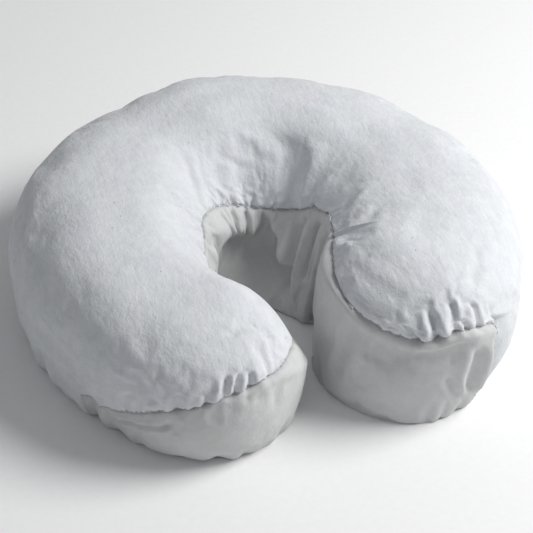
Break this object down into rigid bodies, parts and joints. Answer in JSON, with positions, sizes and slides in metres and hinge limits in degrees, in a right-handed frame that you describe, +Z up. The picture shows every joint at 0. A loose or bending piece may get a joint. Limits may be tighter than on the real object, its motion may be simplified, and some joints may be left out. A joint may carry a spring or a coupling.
{
  "type": "face cradle cushion",
  "caption": "Horseshoe face cradle cushion for a massage table, foam pad in a fitted flannel cover with an elastic hem, which supports the face round a breathing opening.",
  "frame": {"origin": "centre of the footprint, on the surface that the cushion stands on", "axes": "+Z up through the padding, +X along the width to the right arm when looking from the mouth to the crown, +Y from the mouth between the tips towards the crown"},
  "size_m": [0.3034, 0.2782, 0.0943],
  "materials": {
    "flannel_top": "brushed white cotton flannel, matt with a short nap",
    "flannel_gusset": "white cotton flannel, smoother side out, matt",
    "sewing_thread": "twisted white cotton thread",
    "woven_elastic": "woven white elastic",
    "cream_vinyl": "soft cream upholstery vinyl, satin with a fine grain",
    "soft_foam": "open-cell cream comfort foam, matt",
    "firm_foam": "open-cell pale blue support foam, matt",
    "loop_pile": "white loop pile tape"
  },
  "bodies": {
    "root": {"cover_top_panel": "flannel_top", "cover_gusset": "flannel_gusset", "cover_seam_thread": "sewing_thread", "cover_hem_casing": "flannel_gusset", "cover_hem_thread": "sewing_thread", "cover_elastic": "woven_elastic", "pad_top_skin": "cream_vinyl", "pad_inner_band": "cream_vinyl", "pad_base_panel": "cream_vinyl", "foam_comfort_layer": "soft_foam", "foam_support_core": "firm_foam", "loop_tape_crown": "loop_pile", "loop_tape_left_arm": "loop_pile", "loop_tape_right_arm": "loop_pile"}
  },
  "joints": []
}
